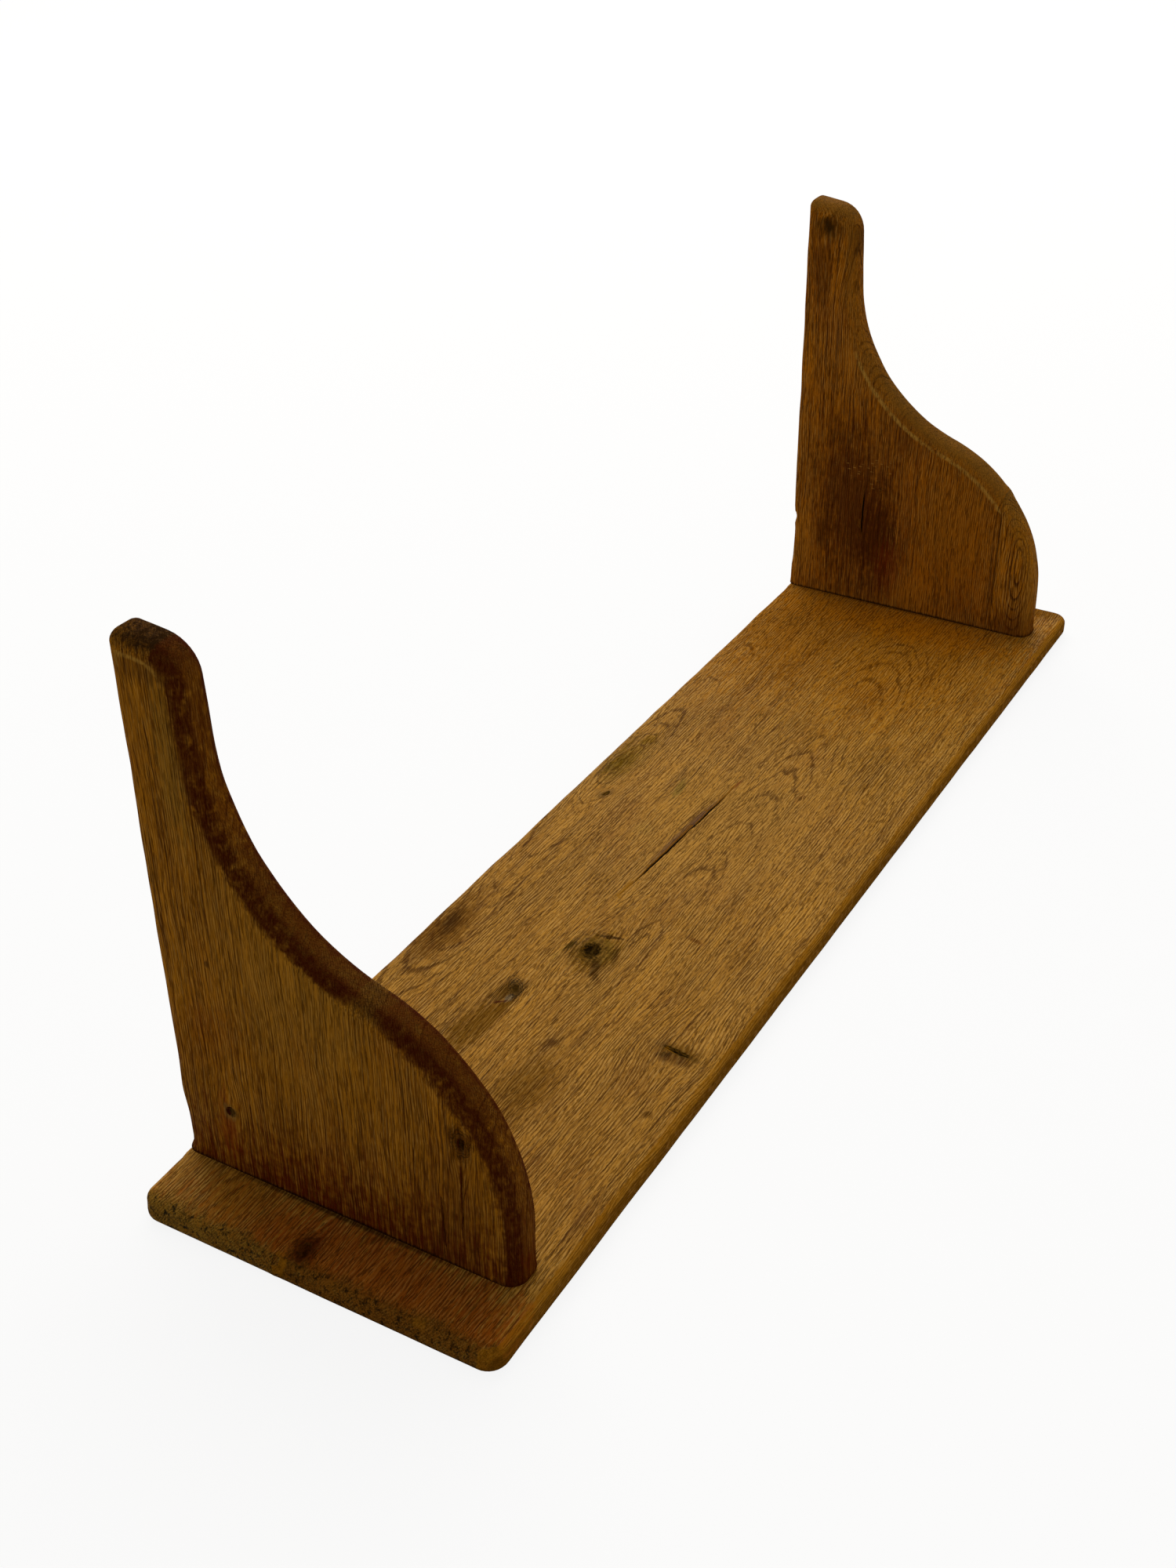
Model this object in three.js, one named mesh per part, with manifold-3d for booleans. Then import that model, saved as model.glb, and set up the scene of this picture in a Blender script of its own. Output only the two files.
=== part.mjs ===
// A wall shelf in solid oak: a board glued up from two staves, and two ogee brackets that stand on it.
// Millimetres. +X runs along the board to the right, +Y towards the wall, +Z up. The origin lies under
// the middle of the board, in the plane that the shelf stands on.
import * as THREE from "three";
import { mergeVertices } from "three/addons/utils/BufferGeometryUtils.js";
import Module from "manifold-3d";

const wasm = await Module();
wasm.setup();

// The board
const BOARD_LENGTH = 860;
const BOARD_DEPTH = 220;
const BOARD_THICKNESS = 15;
const BOARD_CORNER_RADIUS = 12; // in plan
const BOARD_ARRIS_RADIUS = 5;
const BOARD_BACK_STAVE = 88; // width of the rear stave, the front one takes the rest
const CLEAR_MARGIN = 2; // from each bracket to the clear bay of the board's faces

// What each bracket has of its own, because both were trimmed by hand
const LEFT_OVERHANG = 41; // board beyond the bracket's outer face
const LEFT_SETBACK = 13; // board in front of the bracket's foot
const LEFT_HEIGHT = 311; // above the board
const RIGHT_OVERHANG = 34;
const RIGHT_SETBACK = 16;
const RIGHT_HEIGHT = 314;
const RIGHT_BACK_STAVE = 172; // width of its main stave, a narrow one is glued on in front

// The ogee pattern that both brackets share
const BRACKET_THICKNESS = 25;
const NECK_WIDTH = 42; // where the cove ends
const NECK_LEAN = THREE.MathUtils.degToRad(2.5); // the neck narrows upwards
const COVE_RADIUS = 123.5; // the hollow under the neck
const BELLY_RADIUS = 120; // the swell over the foot
const BELLY_CENTRE_HEIGHT = 31.5; // above the board, the foot's front is upright below it
const TOP_FALL = THREE.MathUtils.degToRad(6.5); // the top edge drops to the front
const NOSE_RADIUS = 22; // top front corner
const HEEL_RADIUS = 6; // top back corner
const HEEL_FACE_RADIUS = 0.5; // what is left of it where the arris meets the bracket's face
const FRONT_ARRIS_RADIUS = 10; // along the top and the ogee
const BACK_ARRIS_RADIUS = 7.5; // along the back edge

// Countersunk wood screws, driven up through the board into each bracket's foot
const SCREW_LENGTH = 50;
const SCREW_RADIUS = 2.25;
const SCREW_TIP_LENGTH = 6;
const HEAD_RADIUS = 4.5;
const HEAD_RIM = 0.4;
const HEAD_SINK = 0.4; // below the board's underside
const RECESS_WIDTH = 1.1; // cross recess
const RECESS_SPAN = 4.8;
const RECESS_DEPTH = 1.8;
const SCREW_CLEARANCE = 0.3; // from each hole's wall
const SCREW_SETBACKS = [30, 100, 160]; // from the back edge

// Facets
const ARRIS_STEPS = 8;
const OGEE_STEPS = 24;
const CORNER_STEPS = 8;
const SCREW_SIDES = 24;

const boardOak = new THREE.MeshStandardMaterial({ color: 0x825b29, roughness: 0.55, metalness: 0 });
const bracketOak = new THREE.MeshStandardMaterial({ color: 0x563509, roughness: 0.5, metalness: 0 });
const steel = new THREE.MeshStandardMaterial({ color: 0xa8a8a4, roughness: 0.35, metalness: 1 });

// Points on an arc, both ends included.
function arc(centre, radius, from, to, steps) {
  const points = [];
  for (let i = 0; i <= steps; i++) {
    const angle = THREE.MathUtils.lerp(from, to, i / steps);
    points.push(
      new THREE.Vector2(centre.x + radius * Math.cos(angle), centre.y + radius * Math.sin(angle)),
    );
  }
  return points;
}

// Where the line through a along u crosses the line through b along v.
function crossing(a, u, b, v) {
  const reach = b.clone().sub(a).cross(v) / u.cross(v);
  return a.clone().addScaledVector(u, reach);
}

// An arc that rounds the corner between a line that arrives along one direction and one that leaves along
// another.
function fillet(corner, arriving, leaving, radius, steps) {
  const turn = Math.acos(THREE.MathUtils.clamp(arriving.dot(leaving), -1, 1));
  const inward = leaving.clone().sub(arriving).normalize();
  const centre = corner.clone().addScaledVector(inward, radius / Math.cos(turn / 2));
  const middle = inward.angle() + Math.PI;
  return arc(centre, radius, middle - turn / 2, middle + turn / 2, steps);
}

// How far a quarter-round arris of this radius has come in from the edge and gone down from the face.
function quarterRound(radius, step) {
  const angle = ((Math.PI / 2) * step) / ARRIS_STEPS;
  return { inset: radius * (1 - Math.sin(angle)), depth: radius * (1 - Math.cos(angle)) };
}

// The points of an outline, divided into bays. Each cut is a pair of its points, the earlier one first.
function baysOf(count, cuts) {
  let bays = [Array.from({ length: count }, (_, i) => i)];
  for (const [from, to] of cuts) {
    bays = bays.flatMap((bay) => {
      const [a, b] = [bay.indexOf(from), bay.indexOf(to)];
      return a < 0 || b < 0 ? [bay] : [bay.slice(a, b + 1), [...bay.slice(0, a + 1), ...bay.slice(b)]];
    });
  }
  return bays;
}

// A plate with moulded arrises, between z = 0 and z = thickness. ringAt(step) gives the outline of an arris
// step as [{ x, y, depth }], counterclockwise, with the same number of points at each step. The cuts divide
// both faces into bays.
function mouldedPlate(thickness, ringAt, cuts = []) {
  const rings = [];
  for (let step = 0; step <= ARRIS_STEPS; step++) {
    rings.push(ringAt(step).map((p) => new THREE.Vector3(p.x, p.y, thickness - p.depth)));
  }
  for (let step = ARRIS_STEPS; step >= 0; step--) {
    rings.push(ringAt(step).map((p) => new THREE.Vector3(p.x, p.y, p.depth)));
  }
  const count = rings[0].length;
  const indices = [];
  for (let ring = 0; ring + 1 < rings.length; ring++) {
    for (let i = 0; i < count; i++) {
      const next = (i + 1) % count;
      const [a, b] = [ring * count + i, ring * count + next];
      const [c, d] = [a + count, b + count];
      indices.push(a, c, b, b, c, d);
    }
  }
  const last = (rings.length - 1) * count;
  for (const bay of baysOf(count, cuts)) {
    const corners = bay.map((i) => rings[0][i]);
    for (const face of THREE.ShapeUtils.triangulateShape(corners, [])) {
      const [a, b, c] = face.map((i) => bay[i]);
      indices.push(a, b, c);
      indices.push(last + a, last + c, last + b);
    }
  }
  return new THREE.BufferGeometry().setFromPoints(rings.flat()).setIndex(indices);
}

// A geometry as a solid, and back.
function solidOf(geometry) {
  const bare = geometry.clone();
  bare.deleteAttribute("normal");
  bare.deleteAttribute("uv");
  const merged = mergeVertices(bare, 1e-4);
  return new wasm.Manifold(
    new wasm.Mesh({
      numProp: 3,
      vertProperties: merged.attributes.position.array,
      triVerts: new Uint32Array(merged.index.array),
    }),
  );
}

function geometryOf(solid) {
  const { vertProperties, triVerts } = solid.getMesh();
  const geometry = new THREE.BufferGeometry()
    .setAttribute("position", new THREE.BufferAttribute(vertProperties, 3))
    .setIndex(new THREE.BufferAttribute(triVerts, 1));
  geometry.computeVertexNormals();
  return geometry;
}

// One stave of the board. It lies between its glued edge at y = 0 and y = width, and both its outer corners
// are rounded in plan. Its faces are divided across at each x of the divisions, in rising order.
function boardStave(width, divisions) {
  const halfLength = BOARD_LENGTH / 2;
  const stations = (y) => divisions.map((x) => new THREE.Vector2(x, y));
  const ringAt = (step) => {
    const { inset, depth } = quarterRound(BOARD_ARRIS_RADIUS, step);
    const radius = BOARD_CORNER_RADIUS - inset;
    const cornerX = halfLength - BOARD_CORNER_RADIUS;
    const cornerY = width - BOARD_CORNER_RADIUS;
    return [
      new THREE.Vector2(inset - halfLength, 0),
      ...stations(0),
      new THREE.Vector2(halfLength - inset, 0),
      ...arc(new THREE.Vector2(cornerX, cornerY), radius, 0, Math.PI / 2, CORNER_STEPS),
      ...stations(width - inset).reverse(),
      ...arc(new THREE.Vector2(-cornerX, cornerY), radius, Math.PI / 2, Math.PI, CORNER_STEPS),
    ].map(({ x, y }) => ({ x, y, depth }));
  };
  const lastAcross = 2 * divisions.length + CORNER_STEPS + 2;
  const cuts = divisions.map((_, i) => [i + 1, lastAcross - i]);
  return mouldedPlate(BOARD_THICKNESS, ringAt, cuts);
}

// A bracket's outline at one arris step, in the plane of its faces: x runs forward from its back edge and y
// up from the board. The ogee is two arcs that meet where their centres' line crosses it, so moving the edge
// inwards only changes their radii. A joint at x = stave, where there is one, ends or starts the outline.
function bracketRing(bracket, step) {
  const front = quarterRound(FRONT_ARRIS_RADIUS, step);
  const back = quarterRound(BACK_ARRIS_RADIUS, step);
  const { foot, height } = bracket;

  const bellyCentre = new THREE.Vector2(foot - BELLY_RADIUS, BELLY_CENTRE_HEIGHT);
  const coveX = NECK_WIDTH + COVE_RADIUS;
  const rise = Math.sqrt((BELLY_RADIUS + COVE_RADIUS) ** 2 - (coveX - bellyCentre.x) ** 2);
  const coveCentre = new THREE.Vector2(coveX, bellyCentre.y + rise);
  const turnOver = coveCentre.clone().sub(bellyCentre).angle();
  const bellyRadius = BELLY_RADIUS - front.inset;
  const belly = (from, to) => arc(bellyCentre, bellyRadius, from, to, OGEE_STEPS);
  const coveRadius = COVE_RADIUS + front.inset;
  const cove = arc(coveCentre, coveRadius, Math.PI + turnOver, Math.PI + NECK_LEAN, OGEE_STEPS);

  const up = new THREE.Vector2(-Math.sin(NECK_LEAN), Math.cos(NECK_LEAN));
  const backwards = new THREE.Vector2(-Math.cos(TOP_FALL), Math.sin(TOP_FALL));
  const down = new THREE.Vector2(0, -1);
  const topBack = new THREE.Vector2(0, height).addScaledVector(
    new THREE.Vector2(-backwards.y, backwards.x),
    front.inset,
  );
  const backEdge = new THREE.Vector2(back.inset, 0);
  const noseCorner = crossing(cove.at(-1), up, topBack, backwards);
  const heelCorner = crossing(topBack, backwards, backEdge, down);
  const nose = fillet(noseCorner, up, backwards, NOSE_RADIUS - front.inset, CORNER_STEPS);
  const heelRadius = Math.max(HEEL_RADIUS - front.inset, HEEL_FACE_RADIUS);
  const heel = fillet(heelCorner, backwards, down, heelRadius, CORNER_STEPS);

  const ogeeDepth = (points) => points.map(({ x, y }) => ({ x, y, depth: front.depth }));
  const heelDepth = heel.map(({ x, y }, i) => ({
    x,
    y,
    depth: THREE.MathUtils.lerp(front.depth, back.depth, i / CORNER_STEPS),
  }));
  const toe = { x: foot - front.inset, y: 0, depth: front.depth };
  const rear = { x: back.inset, y: 0, depth: back.depth };
  const upper = [...ogeeDepth([...cove.slice(1), ...nose]), ...heelDepth, rear];

  if (bracket.part === "whole") {
    return [toe, ...ogeeDepth(belly(0, turnOver)), ...upper];
  }
  const jointAngle = Math.acos((bracket.stave - bellyCentre.x) / bellyRadius);
  const jointFoot = { x: bracket.stave, y: 0, depth: front.depth };
  if (bracket.part === "front stave") {
    return [jointFoot, toe, ...ogeeDepth(belly(0, jointAngle))];
  }
  return [jointFoot, ...ogeeDepth(belly(jointAngle, turnOver)), ...upper];
}

// The screw's outline about its axis, widened all round by a clearance, from z = start below its head.
function screwOutline(clearance, start) {
  const head = HEAD_RADIUS + clearance;
  const shank = SCREW_RADIUS + clearance;
  const rimTop = HEAD_SINK + HEAD_RIM;
  const tip = HEAD_SINK + SCREW_LENGTH;
  return [
    [0, start],
    [head, start],
    [head, rimTop],
    [shank, rimTop + head - shank],
    [shank, tip - SCREW_TIP_LENGTH],
    [0, tip + clearance],
  ].map(([radius, z]) => new THREE.Vector2(radius, z));
}

function turned(outline) {
  return new THREE.LatheGeometry(outline, SCREW_SIDES).rotateX(Math.PI / 2);
}

// A countersunk screw, head down, with the cross recess in its head.
function screw() {
  let body = solidOf(turned(screwOutline(0, HEAD_SINK)));
  for (const [width, span] of [
    [RECESS_WIDTH, RECESS_SPAN],
    [RECESS_SPAN, RECESS_WIDTH],
  ]) {
    const slot = new THREE.BoxGeometry(width, span, 2 * RECESS_DEPTH).translate(0, 0, HEAD_SINK);
    body = body.subtract(solidOf(slot));
  }
  return geometryOf(body);
}

// The hole that one screw needs, open below the board.
function screwHole(x, setback) {
  const hole = turned(screwOutline(SCREW_CLEARANCE, -BOARD_THICKNESS));
  return solidOf(hole.translate(x, BOARD_DEPTH / 2 - setback, 0));
}

const shelf = new THREE.Group();

// Cuts all screw holes out of a geometry that already lies in its place, and adds it to the shelf.
function addDrilled(name, geometry, material, holes) {
  let body = solidOf(geometry);
  for (const hole of holes) {
    body = body.subtract(hole);
  }
  const mesh = new THREE.Mesh(geometryOf(body), material);
  mesh.name = name;
  shelf.add(mesh);
}

// A bracket's plate stood up on the board: its outline's x axis points forward and its y axis up, which
// turns its thickness along -X, from its right face.
function placedBracket(bracket) {
  const plate = mouldedPlate(BRACKET_THICKNESS, (step) => bracketRing(bracket, step));
  const [forward, up] = [new THREE.Vector3(0, -1, 0), new THREE.Vector3(0, 0, 1)];
  const standing = new THREE.Matrix4().makeBasis(forward, up, forward.clone().cross(up));
  standing.setPosition(bracket.rightFace, BOARD_DEPTH / 2, BOARD_THICKNESS);
  return plate.applyMatrix4(standing);
}

const leftBracket = {
  rightFace: LEFT_OVERHANG + BRACKET_THICKNESS - BOARD_LENGTH / 2,
  foot: BOARD_DEPTH - LEFT_SETBACK,
  height: LEFT_HEIGHT,
  part: "whole",
};
const rightBracket = {
  rightFace: BOARD_LENGTH / 2 - RIGHT_OVERHANG,
  foot: BOARD_DEPTH - RIGHT_SETBACK,
  height: RIGHT_HEIGHT,
  stave: RIGHT_BACK_STAVE,
};

const holes = { left: [], right: [] };
for (const [side, bracket] of Object.entries({ left: leftBracket, right: rightBracket })) {
  const x = bracket.rightFace - BRACKET_THICKNESS / 2;
  SCREW_SETBACKS.forEach((setback, i) => {
    holes[side].push(screwHole(x, setback));
    const fastener = new THREE.Mesh(screw(), steel);
    fastener.name = `${side}_screw_${i + 1}`;
    fastener.position.set(x, BOARD_DEPTH / 2 - setback, 0);
    shelf.add(fastener);
  });
}
const boardHoles = [...holes.left, ...holes.right];

const clearFrom = leftBracket.rightFace + CLEAR_MARGIN;
const clearTo = rightBracket.rightFace - BRACKET_THICKNESS - CLEAR_MARGIN;
const jointY = BOARD_DEPTH / 2 - BOARD_BACK_STAVE;
const backStave = boardStave(BOARD_BACK_STAVE, [clearFrom, clearTo]).translate(0, jointY, 0);
const frontStave = boardStave(BOARD_DEPTH - BOARD_BACK_STAVE, [-clearTo, -clearFrom])
  .rotateZ(Math.PI)
  .translate(0, jointY, 0);
addDrilled("board_back_stave", backStave, boardOak, boardHoles);
addDrilled("board_front_stave", frontStave, boardOak, boardHoles);

addDrilled("left_bracket", placedBracket(leftBracket), bracketOak, holes.left);
for (const part of ["back stave", "front stave"]) {
  const stave = placedBracket({ ...rightBracket, part });
  addDrilled(`right_bracket_${part.replace(" ", "_")}`, stave, bracketOak, holes.right);
}

export default shelf;
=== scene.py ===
"""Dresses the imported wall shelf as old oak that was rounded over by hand, oiled and waxed.

Metres, with +X along the board to the right, +Y towards the wall and +Z up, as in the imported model. The
wood's own sizes are written in millimetres, as on the bench.
"""

import logging
import math
from dataclasses import dataclass, field, replace
from enum import Enum

import bmesh
import bpy
import numpy as np
from mathutils import Color, Matrix, Vector, noise
from mathutils.kdtree import KDTree


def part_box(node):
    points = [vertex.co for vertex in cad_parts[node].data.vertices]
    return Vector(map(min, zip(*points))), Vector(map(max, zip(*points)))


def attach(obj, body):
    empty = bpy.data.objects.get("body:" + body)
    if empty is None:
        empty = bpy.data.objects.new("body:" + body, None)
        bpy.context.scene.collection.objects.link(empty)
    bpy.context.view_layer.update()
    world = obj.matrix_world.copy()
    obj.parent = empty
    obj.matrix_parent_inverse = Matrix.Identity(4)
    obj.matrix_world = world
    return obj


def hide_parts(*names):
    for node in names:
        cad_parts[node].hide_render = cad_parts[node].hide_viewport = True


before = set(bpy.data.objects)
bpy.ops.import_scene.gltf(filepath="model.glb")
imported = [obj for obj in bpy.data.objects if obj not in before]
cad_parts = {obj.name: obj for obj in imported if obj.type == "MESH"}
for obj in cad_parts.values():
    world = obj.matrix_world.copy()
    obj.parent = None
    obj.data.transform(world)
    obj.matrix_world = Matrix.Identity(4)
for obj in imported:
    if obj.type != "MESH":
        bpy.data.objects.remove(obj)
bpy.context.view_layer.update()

MM = 0.001
EDGE, CRACK = "edge", "crack"  # the meshes' own layers: how far a roundover is, and how deep in a crack
log = logging.getLogger("shelf")

Range = tuple[float, float]
Band = tuple[Range, Range]
Triple = tuple[float, float, float]


def linear(code: str) -> tuple[float, ...]:
    """Turns a screen's colour, in six hexadecimal digits, into the linear one that a shader takes."""
    shown = Color([byte / 255 for byte in bytes.fromhex(code)])
    return (*shown.from_srgb_to_scene_linear(), 1.0)


def smooth(value: np.ndarray, low: float, high: float) -> np.ndarray:
    """Goes smoothly from 0 where a value is `low` to 1 where it is `high`. Either may be the lower."""
    share = np.clip((value - low) / (high - low), 0.0, 1.0)
    return share * share * (3.0 - 2.0 * share)


class Value:
    """A socket whose number, vector or colour varies over a surface, with arithmetic that adds nodes."""

    def __init__(self, shader: "Shader", socket: bpy.types.NodeSocket) -> None:
        """Wraps a shader's output socket."""
        self.shader, self.socket = shader, socket

    def combine(self, operation: str, *operands: "Term") -> "Value":
        """Adds one Math node, or a Vector Math node where a vector or a colour takes part.

        Args:
            operation: The node's operation.
            operands: What goes into its sockets, in order.

        Returns:
            The node's result.
        """
        numbers = all(o.socket.type == "VALUE" for o in operands if isinstance(o, Value))
        kind = "Math" if numbers else "VectorMath"
        return self.shader.node(kind, dict(enumerate(operands)), operation=operation)

    def __add__(self, other: "Term") -> "Value":
        """Adds."""
        return self.combine("ADD", self, other)

    def __sub__(self, other: "Term") -> "Value":
        """Takes the other away."""
        return self.combine("SUBTRACT", self, other)

    def __rsub__(self, other: "Term") -> "Value":
        """Is taken away from the other."""
        return self.combine("SUBTRACT", other, self)

    def __mul__(self, other: "Term") -> "Value":
        """Multiplies."""
        return self.combine("MULTIPLY", self, other)

    def __truediv__(self, other: "Term") -> "Value":
        """Divides by the other."""
        return self.combine("DIVIDE", self, other)

    def __rtruediv__(self, other: "Term") -> "Value":
        """Divides the other."""
        return self.combine("DIVIDE", other, self)

    def __abs__(self) -> "Value":
        """Drops the sign."""
        return self.combine("ABSOLUTE", self)

    __radd__ = __add__
    __rmul__ = __mul__

    def root(self) -> "Value":
        """Gives the square root."""
        return self.combine("SQRT", self)

    def fraction(self) -> "Value":
        """Gives what is left after the whole number."""
        return self.combine("FRACT", self)

    def at_most(self, other: "Term") -> "Value":
        """Gives the smaller of the two."""
        return self.combine("MINIMUM", self, other)

    def at_least(self, other: "Term") -> "Value":
        """Gives the larger of the two."""
        return self.combine("MAXIMUM", self, other)

    def times_plus(self, factor: "Term", base: "Term") -> "Value":
        """Multiplies by a factor and adds a base, in one node."""
        return self.combine("MULTIPLY_ADD", self, factor, base)

    def rise(self, low: float, high: float, top: float = 1.0) -> "Value":
        """Goes smoothly from 0 where this is `low` to `top` where it is `high`. Either may be the lower."""
        sockets = {"Value": self, "From Min": low, "From Max": high, "To Max": top}
        return self.shader.node("MapRange", sockets, interpolation_type="SMOOTHSTEP")

    def between(self, band: Band) -> "Value":
        """Rises over the band's first range, and falls over its second."""
        return self.rise(*band[0]) * self.rise(*band[1])

    def dot(self, axis: Triple) -> "Value":
        """Gives how far a vector reaches along an axis."""
        return self.shader.node("VectorMath", {0: self, 1: axis}, output="Value", operation="DOT_PRODUCT")

    def norm(self) -> "Value":
        """Gives a vector's length."""
        return self.shader.node("VectorMath", {0: self}, output="Value", operation="LENGTH")


Term = Value | float | tuple


class Shader:
    """A material, or a world's light, under construction."""

    def __init__(self, owner: bpy.types.Material | bpy.types.World) -> None:
        """Clears the owner's nodes.

        Args:
            owner: What the shader is for.
        """
        owner.use_nodes = True
        self.owner, self.tree = owner, owner.node_tree
        self.tree.nodes.clear()

    def node(
        self,
        kind: str,
        inputs: dict[int | str, Term] | None = None,
        output: int | str = 0,
        **settings: str | float | bool,
    ) -> Value:
        """Adds a node.

        Args:
            kind: The node's type, without ShaderNode in front.
            inputs: What its sockets hold or are linked to, by name or number.
            output: Which of its outputs to give back.
            settings: The node's own settings, set before its sockets.

        Returns:
            The chosen output.
        """
        node = self.tree.nodes.new("ShaderNode" + kind)
        for name, setting in settings.items():
            setattr(node, name, setting)
        for name, term in (inputs or {}).items():
            if isinstance(term, Value):
                self.tree.links.new(term.socket, node.inputs[name])
            elif isinstance(term, float | int) and node.inputs[name].type == "VECTOR":
                node.inputs[name].default_value = (term,) * 3
            else:
                node.inputs[name].default_value = term
        return Value(self, node.outputs[output] if len(node.outputs) else None)

    def mixed(self, first: Term, second: Term, amount: Term) -> Value:
        """Mixes two colours: all of the first at amount 0, and all of the second at 1."""
        return self.node("Mix", {0: amount, 6: first, 7: second}, output=2, data_type="RGBA")

    def noise(self, at: Value, detail: float = 2.0, roughness: float = 0.5, shift: float = 0.0) -> Value:
        """Gives smooth noise about 0, mostly between -0.3 and 0.3, whose pattern `shift` moves."""
        sockets = {"Vector": at + (shift,) * 3, "Scale": 1.0, "Detail": detail, "Roughness": roughness}
        return self.node("TexNoise", sockets) - 0.5

    def specks(self, at: Value, shift: float = 0.0) -> Value:
        """Gives the distance to the nearest of many scattered points, about one in each unit of space."""
        return self.node("TexVoronoi", {"Vector": at + (shift,) * 3, "Scale": 1.0})

    def vector(self, x: Term, y: Term, z: Term) -> Value:
        """Joins three numbers into a vector."""
        return self.node("CombineXYZ", {0: x, 1: y, 2: z})

    def layer(self, name: str) -> Value:
        """Reads a number that the mesh holds at each vertex."""
        return self.node("Attribute", output="Fac", attribute_name=name)


class Grain(Enum):
    """Which way the fibres run, with the ways across them and through the show face."""

    ALONG_SHELF = ((1.0, 0.0, 0.0), (0.0, 1.0, 0.0), (0.0, 0.0, 1.0))
    UPRIGHT = ((0.0, 0.0, 1.0), (0.0, -1.0, 0.0), (1.0, 0.0, 0.0))


@dataclass
class Wood:
    """A place in the wood as the shader knows it, in millimetres, with the noise that all marks share.

    It flows along the fibres. The noise is ragged in all directions, frayed along the fibres, or torn: both.
    """

    shader: Shader
    grain: Grain
    seed: float
    along: Value
    across: Value
    through: Value
    flow: Value
    place: Value
    face: Value
    ragged: Value
    frayed: Value | None = None
    torn: Value | None = None

    def stretched(self, length: float, width: float, flowing: bool = True) -> Value:
        """Gives the place in units of a fibre's length and width, along the fibres or straight on."""
        side = self.flow if flowing else self.across
        return self.shader.vector(self.along / length, side / width, self.through / width)


@dataclass(frozen=True)
class Waves:
    """Noise in the wood: how long and wide its waves are in millimetres, and how finely they break up."""

    length: float
    width: float
    detail: float = 2.0
    roughness: float = 0.5
    shift: float = 0.0
    flowing: bool = True

    def drawn(self, wood: Wood) -> Value:
        """Draws the noise in the wood."""
        at = wood.stretched(self.length, self.width, self.flowing)
        return wood.shader.noise(at, self.detail, self.roughness, wood.seed + self.shift)


@dataclass
class Coat:
    """What is laid on the wood so far: its colour, its height in millimetres, and how matt it is."""

    colour: Value
    height: Value
    matt: Value

    def tint(self, colour: str, amount: Term) -> None:
        """Lays a colour over a part of the coat."""
        self.colour = self.colour.shader.mixed(self.colour, linear(colour), amount)

    def sink(self, mask: Value, depth: float) -> None:
        """Lowers a part of the coat, and takes its gloss away."""
        self.height = self.height - mask * depth
        self.matt = self.matt.at_least(mask)


@dataclass(frozen=True)
class Spot:
    """A place on a piece of wood, in millimetres along and across its grain, turned by some degrees."""

    along: float
    across: float
    length: float
    width: float
    turn: float = field(default=0.0, kw_only=True)

    def offsets(self, along: float | np.ndarray, across: float | np.ndarray) -> tuple:
        """Gives the way from the spot's middle along its own two axes, in units of its half sizes.

        Args:
            along: The place along the grain, or an array of places.
            across: The place across it.

        Returns:
            Both offsets.
        """
        c, s = math.cos(math.radians(self.turn)), math.sin(math.radians(self.turn))
        g, t = along - self.along, across - self.across
        return (g * c + t * s) / (self.length / 2), (t * c - g * s) / (self.width / 2)

    def distance(self, wood: Wood, wider: Range = (1.0, 1.0)) -> Value:
        """Gives the distance from the spot's middle, 1 on an ellipse.

        Args:
            wood: The place in the wood.
            wider: How far the ellipse reaches, in units of the spot's half sizes.

        Returns:
            The distance.
        """
        sockets = {
            "Vector": wood.face,
            "Location": (self.along, self.across, 0.0),
            "Rotation": (0.0, 0.0, math.radians(self.turn)),
            "Scale": (self.length / 2 * wider[0], self.width / 2 * wider[1], 1.0),
        }
        return wood.shader.node("Mapping", sockets, vector_type="TEXTURE").norm()

    def reach(self, wood: Wood, raggedness: float) -> Value:
        """Gives the distance from the spot's middle, 1 on its outline, which noise breaks up."""
        return wood.ragged.times_plus(raggedness, self.distance(wood))


@dataclass(frozen=True)
class ColourPatch(Spot):
    """A patch of another colour, whose soft edges fray along the fibres. It draws real stains, and also
    patches of painted light and shade.

    It goes right through the piece, or only a few millimetres in from the show face where `skin` says so.
    """

    colour: str
    strength: float
    raggedness: float = 1.2
    softness: float = 0.7
    matt: float = 0.8
    skin: float = 0.0

    def dress(self, coat: Coat, wood: Wood) -> None:
        """Lays the patch on the coat.

        Args:
            coat: What is laid on so far.
            wood: The place in the wood.
        """
        reach = wood.torn.times_plus(self.raggedness, self.distance(wood))
        mask = reach.rise(1.0, 1.0 - self.softness, top=self.strength)
        if self.skin:
            mask = mask * abs(wood.through).rise(self.skin, 0.0)
        coat.tint(self.colour, mask)
        coat.matt = coat.matt.at_least(mask * (self.matt / self.strength))


@dataclass(frozen=True)
class RayFlecks(Spot):
    """Short pale flecks across the grain, where the saw met the rays nearly along their length."""

    colour: str = "c79244"
    strength: float = 0.55
    size: Triple = (2.2, 8.0, 9.0)
    fleck: Range = (0.24, 0.1)
    outline: Range = (1.1, 0.6)
    raggedness: float = 1.0

    def dress(self, coat: Coat, wood: Wood) -> None:
        """Lays the flecks on the coat.

        Args:
            coat: What is laid on so far.
            wood: The place in the wood.
        """
        flecks = wood.shader.specks(wood.place / self.size).rise(*self.fleck)
        patch = self.reach(wood, self.raggedness).rise(*self.outline)
        coat.tint(self.colour, flecks * patch * self.strength)


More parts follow.
